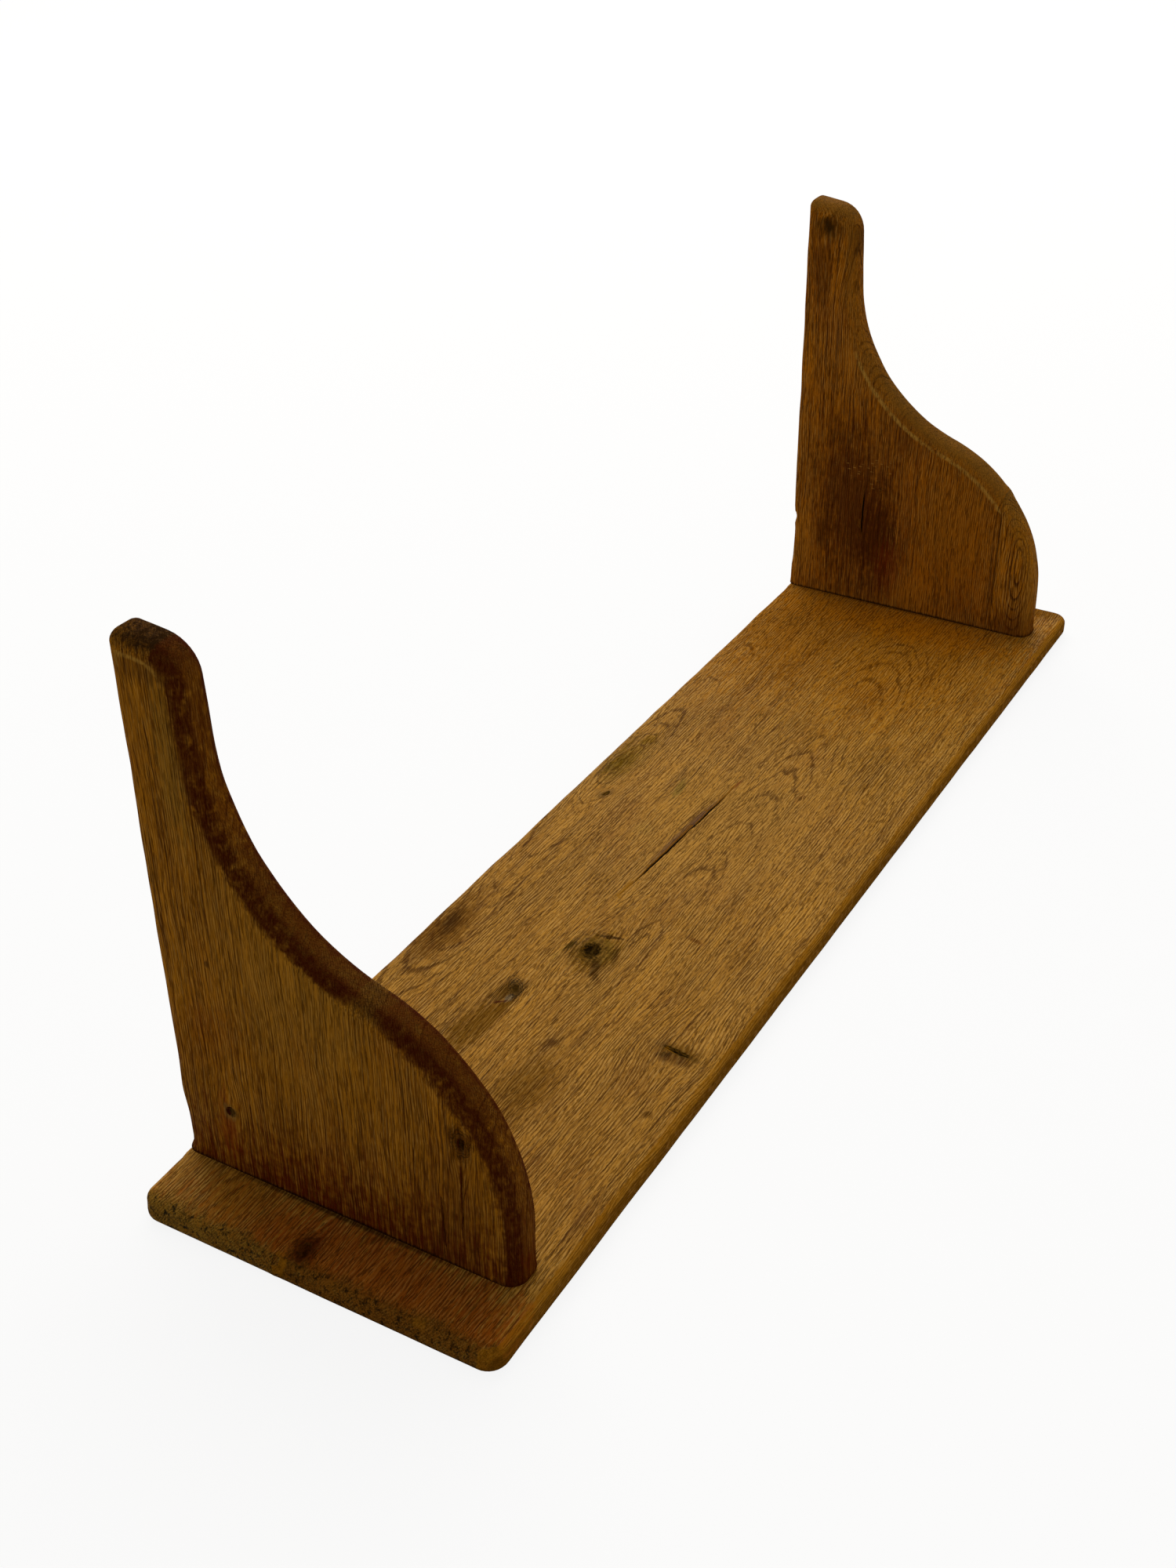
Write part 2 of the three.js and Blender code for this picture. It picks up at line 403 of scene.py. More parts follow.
@dataclass(frozen=True)
class WornLine(Spot):
    """A stretch where the start of the roundover was rubbed pale."""

    colour: str = "bb8a38"
    strength: float = 0.6
    breadth: float = 2.4
    core: float = 0.2
    inset: float = 0.8
    wander: float = 1.5
    frays: float = 0.5
    gaps: Range = (-0.3, 0.0)
    outline: Range = (1.0, 0.7)
    raggedness: float = 0.8

    def dress(self, coat: Coat, wood: Wood) -> None:
        """Lays the worn line on the coat.

        Args:
            coat: What is laid on so far.
            wood: The place in the wood.
        """
        off = abs(wood.shader.layer(EDGE) + self.inset + wood.ragged * self.wander)
        line = off.rise(self.breadth, self.breadth * self.core)
        broken = (wood.ragged + wood.frayed * self.frays).rise(*self.gaps)
        stretch = self.reach(wood, self.raggedness).rise(*self.outline)
        coat.tint(self.colour, line * broken * stretch * self.strength)


@dataclass(frozen=True)
class Knot(Spot):
    """Where a branch left the trunk: its fibres run through the face and those around it flow past.

    It has a halo, a paler rim with dark curls where it is large, and a dark crumbled core.
    """

    depth: float = 0.8
    darkness: float = 0.9
    halo: float = 0.4
    halo_size: float = 2.6
    halo_colour: str = "46300b"
    rim: float = 0.0
    rim_colour: str = "956a2a"
    rim_band: Band = ((1.0, 1.4), (2.1, 1.4))
    curls: float = 0.0
    curl_colour: str = "201404"
    curl_rate: Range = (1.5, 2.4)
    curl_band: Band = ((0.0, 0.35), (0.8, 0.4))
    curl_gaps: Range = (-0.25, 0.05)
    curled: Band = ((4.0, 1.6), (0.9, 1.4))
    core: Range = (1.3, 0.7)
    core_colour: str = "140b03"
    crumb: float = 0.6
    gaps: Range = (-0.1, 0.2)
    fading: Range = (0.2, -0.15)
    faded: float = 0.3
    raggedness: float = 0.9
    shown_depth: float = 0.4
    push: float = 0.0
    flow: float = 0.55
    bend: Triple = (4.8, 2.8, 3.4)
    bend_range: Range = (1.6, 0.0)

    def bending(self, wood: Wood) -> Value:
        """Gives how much the knot bends the fibres at a place, from 0 far away to 1 in the knot."""
        wider = (self.bend[0] + self.bend[1] * self.width / self.length, self.bend[2])
        return replace(self, turn=0.0).distance(wood, wider).rise(*self.bend_range)

    def dress(self, coat: Coat, wood: Wood) -> None:
        """Lays the knot on the coat.

        Args:
            coat: What is laid on so far.
            wood: The place in the wood.
        """
        crumbs = wood.shader.noise(wood.place * self.crumb, shift=self.along)
        reach = self.reach(wood, self.raggedness) + crumbs * self.raggedness
        coat.tint(self.halo_colour, reach.rise(self.halo_size, 1.0) * self.halo)
        if self.curls:
            ring = (reach * self.curl_rate[0] + wood.ragged * self.curl_rate[1]).fraction()
            curl = ring.between(self.curl_band) * wood.ragged.rise(*self.curl_gaps)
            coat.tint(self.curl_colour, curl * reach.between(self.curled) * self.curls)
        if self.rim:
            pale = reach.between(self.rim_band) * (crumbs + wood.ragged).rise(*self.gaps)
            coat.tint(self.rim_colour, pale * self.rim)
        core = reach.rise(*self.core)
        firm = (crumbs + wood.frayed).rise(*self.fading) * self.faded + (1.0 - self.faded)
        coat.tint(self.core_colour, core * self.darkness * firm)
        coat.sink(core, self.depth * self.shown_depth)


@dataclass(frozen=True)
class Crack:
    """A crack that opened along the grain as the wood dried. It is cut into the mesh as a groove."""

    start: Range
    end: Range
    width: float = 0.8
    depth: float = 2.0
    waver: float = 0.6
    waver_span: float = 11.0
    taper: float = 4.5
    steps: tuple[float, ...] = (0.0, 0.04, 0.12, 0.88, 0.96, 1.0)
    cut_beyond: float = 0.1
    slack: Range = (0.001, 0.02)
    greyed: float = 0.0
    grey: str = "5e4030"
    grey_span: Band = ((0.05, 0.5), (1.0, 0.7))
    grey_start: Range = (-0.3, 0.6)
    grey_end: Range = (3.4, -0.6)
    grey_breadth: Range = (2.0, 2.6)

    @property
    def span(self) -> float:
        """Its length."""
        return math.dist(self.start, self.end)

    @property
    def way(self) -> Range:
        """Its direction, along and across the grain."""
        return (self.end[0] - self.start[0]) / self.span, (self.end[1] - self.start[1]) / self.span

    def offsets(self, along: Term, across: Term) -> tuple[Term, Term]:
        """Gives the share of the way from its start to its end, and the distance to its side."""
        g, t = along - self.start[0], across - self.start[1]
        return (g * self.way[0] + t * self.way[1]) / self.span, t * self.way[0] - g * self.way[1]

    def near(self, along: Term, across: Term, beyond: float, aside: float) -> bool | np.ndarray:
        """Tells whether a place is near the crack.

        Args:
            along: The place along the grain, or an array of places.
            across: The place across it.
            beyond: How far beyond its ends counts as near, as a share of its length.
            aside: How far from its middle line does, in millimetres.

        Returns:
            Whether it is near, for each place.
        """
        share, off = self.offsets(along, across)
        return (-beyond < share) & (share < 1.0 + beyond) & (abs(off) < aside)

    def dress(self, coat: Coat, wood: Wood) -> None:
        """Greys the wood on the crack's far side.

        Args:
            coat: What is laid on so far.
            wood: The place in the wood.
        """
        if self.greyed:
            share, off = self.offsets(wood.along, wood.across)
            ends = share.between(self.grey_span)
            side = off + wood.ragged * self.grey_breadth[0] - ends * self.grey_breadth[1]
            fringe = off.rise(*self.grey_start) * side.rise(*self.grey_end) * ends
            coat.tint(self.grey, fringe * self.greyed)


@dataclass(frozen=True)
class Figure:
    """How the year rings meet the show face: where the pith lies under it, and how the rings wander."""

    pith: Range
    depth: float
    slope: float
    ring: float = 2.6
    strength: float = 0.32
    wander: float = 7.0
    ripple: float = 1.8
    blunt: float = 30.0
    uneven: Range = (0.31, 1.8)
    line: Band = ((0.0, 0.12), (0.42, 0.14))
    vigour: Range = (-0.2, 0.22)
    vigour_span: Range = (80.0, 0.6)
    vigour_shift: float = 9.0


@dataclass(frozen=True)
class Pores:
    """Open pores: their size along and across the grain, and how lines and dense wood make them wider."""

    size: Range
    by_line: float
    by_density: float
    edge: Range
    shift: float = 0.0

    def open(self, wood: Wood, line: Value, dense: Value) -> Value:
        """Gives 1 in a pore, and 0 between them."""
        specks = wood.shader.specks(wood.stretched(*self.size), shift=wood.seed + self.shift)
        return (specks - line * self.by_line - dense * self.by_density).rise(*self.edge)


@dataclass(frozen=True)
class OakColours:
    """The oak's colours under its oil, with a painted highlight for the ridges and a painted shade for the
    cracks.
    """

    light: str = "bd842b"
    dark: str = "603c0d"
    red: str = "7a440e"
    pore: str = "462200"
    end: str = "73501c"
    end_pore: str = "2b1b0a"
    # painted highlight on the ridges between the grain's grooves
    ridge: str = "cc9a4c"
    # painted shade in the cracks' grooves
    crack: str = "0c0704"


@dataclass(frozen=True)
class ArrisTint:
    """Another colour on a rounded edge that faces some way, from where the rounding starts to its crown."""

    facing: Triple
    colour: str
    strength: float
    start: Range = (0.985, 0.93)
    crown: Range = (-1.0, -0.5)
    mottle: float = 1.0
    matt: float = 0.0
    speckle: float = 0.0
    speck: Range = (4.0, 1.2)
    speck_range: Range = (0.25, -0.15)
    ragged: float = 0.2
    frayed: float = 0.3
    blotch: Range = (-0.45, 0.1)
    turned: Range = (0.02, 0.1)

    def dress(self, coat: Coat, wood: Wood, normal: Value) -> None:
        """Lays the tint on the coat.

        Args:
            coat: What is laid on so far.
            wood: The place in the wood.
            normal: The way that the surface faces.
        """
        outward = abs(normal.dot(wood.grain.value[2])) + wood.ragged * self.ragged
        blotch = ((wood.ragged + wood.frayed * self.frayed) * self.mottle).rise(*self.blotch)
        band = outward.between((self.start, self.crown))
        mask = normal.dot(self.facing).rise(*self.turned) * band * blotch
        if self.speckle:
            at = wood.stretched(*self.speck)
            bits = wood.shader.noise(at, detail=3.0, roughness=0.7, shift=self.speckle)
            mask = mask * (bits.rise(*self.speck_range) * self.speckle + (1.0 - self.speckle))
        coat.tint(self.colour, mask * self.strength)
        coat.matt = coat.matt.at_least(mask * self.matt)


@dataclass(frozen=True)
class OakFinish:
    """Oak as one stave shows it: how it was sawn, its colours, and its marks."""

    grain: Grain
    origin: Triple
    figure: Figure
    colours: OakColours = OakColours()
    marks: tuple[ColourPatch | RayFlecks | WornLine, ...] = ()
    knots: tuple[Knot, ...] = ()
    cracks: tuple[Crack, ...] = ()
    arrises: tuple[ArrisTint, ...] = ()
    seed: float = 0.0

    streaks: Waves = Waves(9.0, 0.6, roughness=0.7)
    fibres: Waves = Waves(45.0, 1.5, detail=3.0, roughness=0.7, shift=37.0)
    bands: Waves = Waves(80.0, 6.0, shift=13.0)
    tones: Waves = Waves(90.0, 26.0, shift=11.0, flowing=False)
    drifts: Waves = Waves(70.0, 40.0, shift=19.0, flowing=False)
    density: Waves = Waves(50.0, 14.0, detail=1.0, shift=23.0, flowing=False)
    sways: Waves = Waves(90.0, 45.0, detail=1.0, shift=51.0, flowing=False)
    frays: Waves = Waves(20.0, 1.8, roughness=0.6, shift=31.0)
    wanders: Waves = Waves(170.0, 50.0, detail=1.0, shift=3.0, flowing=False)
    ripples: Waves = Waves(22.0, 7.0, shift=7.0)
    weaves: Waves = Waves(42.0, 8.0, roughness=0.6, shift=61.0)
    row_gaps: Waves = Waves(10.0, 1.6, detail=1.0, shift=67.0)
    row_patches: Waves = Waves(60.0, 20.0, detail=1.0, shift=71.0, flowing=False)
    rag: float = 0.22
    torn: float = 0.5
    sway: float = 5.0

    streaked: float = 1.3
    fibrous: float = 1.2
    shade: Range = (-0.47, 0.73)
    reddened: float = 0.5
    red_drift: Range = (-0.02, 0.4)
    toned: float = 0.65
    level: float = 1.02
    pore: Range = (7.5, 0.72)
    fine_pore: Triple = (0.6, 0.7, 0.8)
    pored: float = 0.65
    pore_matt: float = 0.3
    ridged: float = 0.45
    ridged_over: float = 0.0
    grooved: float = 0.9
    row: float = 1.9
    row_lean: float = 0.9
    row_weave: float = 3.0
    row_patch: float = 0.5
    row_breaks: Range = (-0.16, 0.1)
    groove: Band = ((0.0, 0.14), (0.5, 0.22))
    ridge: Band = ((0.4, 0.65), (1.0, 0.8))
    relief: float = 0.18
    line_relief: float = 0.04

    sawn_from: Range = (0.3, 0.75)
    sawn_ragged: float = 0.2
    sawn: float = 0.6
    end_dot: float = 0.8
    end_dots: Range = (0.5, 0.25)
    end_blotch: Waves = Waves(1 / 0.35, 1 / 0.35, detail=3.0, roughness=0.65, shift=29.0, flowing=False)
    end_blotches: Range = (0.0, 0.16)
    end_relief: Range = (0.12, 0.4)
    pitted: float = 0.5
    blotched: float = 0.25

    gloss: float = 0.4
    shine: float = 0.03
    dull: float = 0.25
    matt_rough: float = 0.2
    streak_rough: float = 0.15
    crack_shade_edge: Range = (0.05, 0.5)

    def material(self, name: str) -> bpy.types.Material:
        """Builds the oak's material.

        Args:
            name: What the material is called.

        Returns:
            The material.
        """
        sh = Shader(bpy.data.materials.new(name))
        wood = self.wood(sh)
        line = self.rings(wood)
        streak, dense = self.streaks.drawn(wood), self.density.drawn(wood)
        groove, ridge = self.rows(wood)
        pores, fine = (pores.open(wood, line, dense) for pores in self.pores())
        all_pores = pores.at_least(fine * self.fine_pore[2])

        c = self.colours
        depth = line * self.figure.strength + streak * self.streaked
        depth = depth + self.fibres.drawn(wood) * self.fibrous + self.bands.drawn(wood)
        coat = Coat(
            colour=sh.mixed(linear(c.light), linear(c.dark), depth.rise(*self.shade)),
            height=(streak - groove - pores) * self.relief - line * self.line_relief,
            matt=all_pores * self.pore_matt + self.dull,
        )
        coat.tint(c.red, self.drifts.drawn(wood).rise(*self.red_drift) * self.reddened)
        coat.colour = coat.colour * (self.tones.drawn(wood) * self.toned + self.level)
        # painted highlight: paler ridges between the grooves, as a low light would catch them
        coat.tint(c.ridge, ridge * self.ridged)
        for mark in self.marks:
            mark.dress(coat, wood)
        # more of the painted highlight on the ridges, laid over the marks
        if self.ridged_over:
            coat.tint(c.ridge, ridge * self.ridged_over)
        coat.tint(c.pore, (all_pores * self.pored).at_least(groove * self.grooved * self.pored))
        for mark in self.knots + self.cracks:
            mark.dress(coat, wood)

        normal = sh.node("TexCoord", output="Normal")
        self.end_grain(coat, wood, normal)
        for arris in self.arrises:
            arris.dress(coat, wood, normal)
        crack = sh.layer(CRACK)
        # painted shade: near black along a crack's groove, deepest along its middle
        coat.tint(c.crack, crack.rise(*self.crack_shade_edge))
        coat.matt = coat.matt.at_least(crack)
        return self.close(coat, streak)

    def pores(self) -> tuple[Pores, Pores]:
        """Gives the wood's open pores.

        Returns:
            The coarse pores and the fine ones.
        """
        fine = (self.pore[0] * self.fine_pore[0], self.pore[1] * self.fine_pore[1])
        coarse_pores = Pores(self.pore, by_line=0.25, by_density=0.3, edge=(0.3, 0.22))
        return coarse_pores, Pores(fine, by_line=0.2, by_density=0.2, edge=(0.33, 0.24), shift=5.0)

    def wood(self, sh: Shader) -> Wood:
        """Finds the place in the wood, and bends the fibres round the knots.

        Args:
            sh: The shader.

        Returns:
            The place.
        """
        offset = sh.node("TexCoord", output="Object") * (1.0 / MM) - self.origin
        along, across, through = (offset.dot(axis) for axis in self.grain.value)
        place, face = sh.vector(along, across, through), sh.vector(along, across, 0.0)
        ragged = sh.noise(place * self.rag, shift=self.seed)
        wood = Wood(sh, self.grain, self.seed, along, across, through, across, place, face, ragged)
        wood.flow = across + self.sways.drawn(wood) * self.sway
        for knot in self.knots:
            if knot.push:
                wood.flow = wood.flow - (across - knot.across) * knot.bending(wood) * knot.flow
        wood.frayed = self.frays.drawn(wood)
        wood.torn = ragged.times_plus(self.torn, wood.frayed)
        return wood

    def rings(self, wood: Wood) -> Value:
        """Draws the lines where each year's growth began.

        Args:
            wood: The place in the wood.

        Returns:
            1 in the middle of a line, 0 between them.
        """
        sh, f = wood.shader, self.figure
        apart, aside = wood.along - f.pith[0], wood.flow - f.pith[1]
        depth = (apart * apart + f.blunt**2).root() * f.slope + (wood.through + f.depth)
        round_pith = (aside * aside + depth * depth).root()
        radius = round_pith + self.wanders.drawn(wood) * f.wander + self.ripples.drawn(wood) * f.ripple
        for knot in self.knots:
            if knot.push:
                radius = knot.bending(wood).times_plus(knot.push, radius)
        year = radius / f.ring
        uneven = sh.noise(sh.vector(year * f.uneven[0], 0.0, 0.0), detail=0.0, shift=self.seed)
        year = year + uneven * f.uneven[1]
        at = sh.vector(wood.along / f.vigour_span[0], year * f.vigour_span[1], 0.0)
        vigour = sh.noise(at, detail=1.0, shift=self.seed + f.vigour_shift).rise(*f.vigour)
        return year.fraction().between(f.line) * vigour

    def rows(self, wood: Wood) -> tuple[Value, Value]:
        """Draws the fine grooves along the grain that the plane and the years left, and the ridges between,
        where a highlight is painted.

        Args:
            wood: The place in the wood.

        Returns:
            How deep in a groove a place is, and how much painted highlight a ridge takes there, both from 0
            to 1.
        """
        side = (wood.flow + wood.through * self.row_lean) / self.row
        season = (side + self.weaves.drawn(wood) * self.row_weave).fraction()
        gaps = self.row_gaps.drawn(wood) + self.row_patches.drawn(wood) * self.row_patch
        broken = gaps.rise(*self.row_breaks)
        return season.between(self.groove) * broken, season.between(self.ridge) * broken

    def end_grain(self, coat: Coat, wood: Wood, normal: Value) -> None:
        """Darkens and pits the surface where the fibres end.

        Args:
            coat: What is laid on so far.
            wood: The place in the wood.
            normal: The way that the surface faces.
        """
        sh, c = wood.shader, self.colours
        upright = abs(normal.dot(self.grain.value[0])) + wood.ragged * self.sawn_ragged
        sawn = upright.rise(*self.sawn_from)
        dots = sh.specks(wood.place * self.end_dot, shift=self.seed).rise(*self.end_dots)
        blotches = self.end_blotch.drawn(wood).rise(*self.end_blotches) * self.blotched
        coat.tint(c.end, sawn * self.sawn)
        coat.tint(c.end_pore, sawn * (dots * self.pitted).at_least(blotches))
        coat.height = coat.height - sawn * (dots * self.end_relief[0] + blotches * self.end_relief[1])
        coat.matt = coat.matt.at_least(sawn * self.sawn)

    def close(self, coat: Coat, streak: Value) -> bpy.types.Material:
        """Closes the material: waxed oak, and bare matt wood where the coat is matt.

        Args:
            coat: All that is laid on.
            streak: The fibres' noise, which the gloss follows.

        Returns:
            The material.
        """
        sh = coat.colour.shader
        roughness = coat.matt * self.matt_rough + streak * self.streak_rough + self.gloss
        both = {
            "Base Color": coat.colour,
            "Normal": sh.node("Bump", {"Strength": 1.0, "Distance": MM, "Height": coat.height}),
        }
        waxed = sh.node("BsdfPrincipled", both | {"Roughness": roughness, "Specular IOR Level": self.shine})
        bare = sh.node("BsdfPrincipled", both | {"Roughness": 1.0, "Specular IOR Level": 0.0})
        sh.node("OutputMaterial", {"Surface": sh.node("MixShader", {0: coat.matt, 1: waxed, 2: bare})})
        return sh.owner


@dataclass(frozen=True)
class SteelFinish:
    """Bright steel with fine turning marks."""

    colour: str = "b4b2ac"
    dulled: str = "6e6a62"
    mark: float = 2.0
    patch: float = 0.4
    patches: Range = (-0.1, 0.25)
    dullness: float = 0.5
    roughness: Range = (0.34, 0.2)

    def material(self, name: str) -> bpy.types.Material:
        """Builds the steel's material.

        Args:
            name: What the material is called.

        Returns:
            The material.
        """
        sh = Shader(bpy.data.materials.new(name))
        place = sh.node("TexCoord", output="Object") * (1.0 / MM)
        marks = sh.noise(place * self.mark, detail=3.0)
        dull = sh.noise(place * self.patch).rise(*self.patches) * self.dullness
        sockets = {
            "Base Color": sh.mixed(linear(self.colour), linear(self.dulled), dull),
            "Roughness": marks * self.roughness[1] + self.roughness[0],
            "Metallic": 1.0,
        }
        sh.node("OutputMaterial", {"Surface": sh.node("BsdfPrincipled", sockets)})
        return sh.owner


@dataclass(frozen=True)
class Dent:
    """A stretch where the surface lies deeper, in millimetres in the shelf's frame."""

    start: Triple
    radius: float
    depth: float
    end: Triple | None = None
    bottom: float = 0.2

    def depths(self, place: np.ndarray) -> np.ndarray:
        """Gives how much deeper the surface lies.

        Args:
            place: Where, one row for each place.

        Returns:
            The depth at each place.
        """
        start, end = np.array(self.start), np.array(self.end or self.start)
        way = end - start
        share = np.clip((place - start) @ way / max(way @ way, 1.0), 0.0, 1.0)
        away = np.linalg.norm(place - start - share[:, None] * way, axis=1)
        return self.depth * smooth(away, self.radius, self.radius * self.bottom)


@dataclass(frozen=True)
class Wear:
    """How the hand-made surfaces differ from true ones. It only ever takes wood away."""

    waver: float = 0.9
    waver_span: float = 34.0
    wavering: Range = (3.0, -4.0)
    hollow: float = 0.25
    hollow_span: float = 70.0
    hollow_shift: float = 5.0
    knot_waver: float = 0.4
    knot_core: Range = (1.2, 0.5)
    fade: float = 5.0
    by_glue: float = 0.1
    by_foot: float = 0.5
    dents: tuple[Dent, ...] = ()


@dataclass
class OakPiece:
    """One oak part of the shelf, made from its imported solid: cut into a fine mesh, worn, and finished.

    A glued plane is given by its axis and its place. Nothing is worn away there, so the joints stay shut. A
    footprint is where a bracket stands: its left and right side, and its front. Lengths are in millimetres.
    """

    node: str
    slot: str
    finish: OakFinish
    glued: tuple[tuple[int, float], ...]
    footprints: tuple[Triple, ...] = ()
    wear: Wear = field(default_factory=Wear)
    cell: float = 4.0
    fewest: int = 8
    flat: float = 0.9999
    level: float = math.radians(0.2)
    crease: float = math.radians(32.0)
    touch: float = 0.05
    merge: float = 0.08
    pit: float = 0.5
    finer: Triple = (2.2, 2.0, 1.8)
    beside_knot: float = 3.0
    hair: float = 1e-4
    aside: float = 0.017

    def build(self) -> bpy.types.Object:
        """Makes the piece.

        Returns:
            The piece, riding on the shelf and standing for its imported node.
        """
        bm = self.cut()
        edge = self.edge_distances(bm)
        mesh = bpy.data.meshes.new(self.node + "_oak")
        bm.to_mesh(mesh)
        bm.free()
        crack = self.rub(mesh, edge)
        for name, values in ((EDGE, edge), (CRACK, crack)):
            mesh.attributes.new(name, "FLOAT", "POINT").data.foreach_set("value", values)
        mesh.set_sharp_from_angle(angle=self.crease)
        mesh.materials.append(self.finish.material(self.node + "_finish"))
        piece = bpy.data.objects.new(self.node + "_oak", mesh)
        bpy.context.scene.collection.objects.link(piece)
        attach(piece, "root")
        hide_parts(self.node)
        log.info("%s: %d faces", piece.name, len(mesh.polygons))
        return piece

    @property
    def axes(self) -> list[Vector]:
        """The ways along the grain, across it and through the show face."""
        return [Vector(axis) for axis in self.finish.grain.value]

    @property
    def to_wood(self) -> Matrix:
        """Turns a point in metres into its place along, across and through the wood, in millimetres."""
        turn = Matrix(self.finish.grain.value).to_4x4()
        return turn @ Matrix.Translation(-Vector(self.finish.origin)) @ Matrix.Scale(1.0 / MM, 4)

    def cut(self) -> bmesh.types.BMesh:
        """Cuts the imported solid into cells, so that it can be worn, with finer ones at knots and cracks.

        Returns:
            The mesh.
        """
        bm = bmesh.new()
        bm.from_mesh(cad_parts[self.node].data)
        hair = self.hair * MM
        bmesh.ops.remove_doubles(bm, verts=bm.verts, dist=hair)
        bmesh.ops.dissolve_limit(bm, angle_limit=self.level, verts=bm.verts, edges=bm.edges)
        low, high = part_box(self.node)
        for axis in range(3):
            extent = high[axis] - low[axis]
            count = round(extent / (self.cell * MM))
            if count < self.fewest:
                continue
            way = Vector([float(i == axis) for i in range(3)])
            for i in range(1, count):
                whole = bm.verts[:] + bm.edges[:] + bm.faces[:]
                point = low + way * (extent * i / count + self.aside * MM)
                bmesh.ops.bisect_plane(bm, geom=whole, dist=hair, plane_co=point, plane_no=way)
        for knot in self.finish.knots:
            if knot.depth >= self.pit:
                self.refine(bm, knot)
        for crack in self.finish.cracks:
            self.score(bm, crack)
        bmesh.ops.remove_doubles(bm, verts=bm.verts, dist=self.merge * MM)
        bmesh.ops.dissolve_degenerate(bm, edges=bm.edges, dist=self.merge * MM)
        bmesh.ops.triangulate(bm, faces=[f for f in bm.faces if len(f.verts) > 4])
        for face in bm.faces:
            face.smooth = True
        bm.verts.index_update()
        return bm

    def flats(self, bm: bmesh.types.BMesh) -> list[bmesh.types.BMFace]:
        """Lists the faces that look straight along the way through the show face."""
        through = self.axes[2]
        return [f for f in bm.faces if abs(f.normal.dot(through)) > self.flat]

    def shown_faces(self, bm: bmesh.types.BMesh) -> list[tuple[bmesh.types.BMFace, Vector]]:
        """Lists the faces in the show face, each with its middle's place in the wood.

        Args:
            bm: The mesh.

        Returns:
            The faces and their middles.
        """
        to_wood = self.to_wood
        middles = ((face, to_wood @ face.calc_center_median()) for face in self.flats(bm))
        return [(face, middle) for face, middle in middles if abs(middle.z) < self.touch]

    def refine(self, bm: bmesh.types.BMesh, spot: Spot) -> None:
        """Makes the cells round a spot fine.

        Args:
            bm: The mesh.
            spot: The spot.
        """
        for limit in self.finer:
            reach = limit + self.beside_knot / spot.width
            near = [f for f, at in self.shown_faces(bm) if math.hypot(*spot.offsets(at.x, at.y)) < reach]
            edges = list({e for f in near for e in f.edges})
            bmesh.ops.subdivide_edges(bm, edges=edges, cuts=1, use_grid_fill=True)

    def score(self, bm: bmesh.types.BMesh, crack: Crack) -> None:
        """Cuts the faces along a crack's middle and along both its sides.

        Args:
            bm: The mesh.
            crack: The crack.
        """
        way = self.axes[0] * crack.way[0] + self.axes[1] * crack.way[1]
        side = self.axes[1] * crack.way[0] - self.axes[0] * crack.way[1]
        start = Vector(self.finish.origin) + self.axes[0] * crack.start[0] + self.axes[1] * crack.start[1]
        cuts = [(start + side * crack.width * k / 2, side) for k in (-1, 0, 1)]
        cuts += [(start + way * crack.span * share, way) for share in crack.steps]
        shown = self.shown_faces(bm)
        near = [face for face, at in shown if crack.near(at.x, at.y, crack.cut_beyond, self.cell)]
        geom = near + list({e for f in near for e in f.edges}) + list({v for f in near for v in f.verts})
        for point, normal in cuts:
            plane = {"plane_co": point * MM, "plane_no": normal}
            geom = bmesh.ops.bisect_plane(bm, geom=geom, dist=self.hair * MM, **plane)["geom"]

    def edge_distances(self, bm: bmesh.types.BMesh) -> np.ndarray:
        """Measures how far each vertex is from where a roundover begins.

        Args:
            bm: The mesh.

        Returns:
            Millimetres, positive on the flats and negative on the roundovers.
        """
        flats = set(self.flats(bm))
        points = []
        for edge in bm.edges:
            if sum(f in flats for f in edge.link_faces) != 1:
                continue
            a, b = (v.co for v in edge.verts)
            if any(abs(p[axis] / MM - level) < self.touch for axis, level in self.glued for p in (a, b)):
                continue
            steps = max(1, round((b - a).length / MM))
            points += [a.lerp(b, i / steps) for i in range(steps)]
        tree = KDTree(len(points))
        for index, point in enumerate(points):
            tree.insert(point, index)
        tree.balance()
        signs = (1.0 if any(f in flats for f in v.link_faces) else -1.0 for v in bm.verts)
        return np.array([sign * tree.find(v.co)[2] / MM for sign, v in zip(signs, bm.verts)])

    def rub(self, mesh: bpy.types.Mesh, edge: np.ndarray) -> np.ndarray:
        """Wears the mesh down by hand: wavering arrises, slight hollows, pits at the knots, and the cracks.

        Args:
            mesh: The mesh.
            edge: Each vertex's distance from where a roundover begins.

        Returns:
            How deep in a crack each vertex is, from 0 to 1.
        """
        place, normal = np.empty(len(edge) * 3), np.empty(len(edge) * 3)
        mesh.vertices.foreach_get("co", place)
        mesh.vertices.foreach_get("normal", normal)
        place, normal = place.reshape(-1, 3) / MM, normal.reshape(-1, 3)
        wear = self.wear
        waver = self.grid_noise(place, wear.waver_span, 0.0)
        hollow = self.grid_noise(place, wear.hollow_span, wear.hollow_shift)
        depth = wear.waver * smooth(edge, *wear.wavering) * waver + wear.hollow * hollow
        for dent in wear.dents:
            depth += dent.depths(place)
        depth *= self.free(place) * smooth(place[:, 2], self.touch, wear.fade)

        axes = np.array(self.finish.grain.value)
        along, across, through = ((place - np.array(self.finish.origin)) @ axes.T).T
        show = np.abs(through) < self.touch
        for knot in self.finish.knots:
            away = np.hypot(*knot.offsets(along, across)) + (waver - 0.5) * wear.knot_waver
            depth += knot.depth * smooth(away, *wear.knot_core) * show
        place -= normal * depth[:, None]
        crack = np.zeros(len(edge))
        for cut in self.finish.cracks:
            self.open_crack(cut, place, (along, across), show, crack)
        mesh.vertices.foreach_set("co", (place * MM).ravel())
        mesh.update()
        return crack

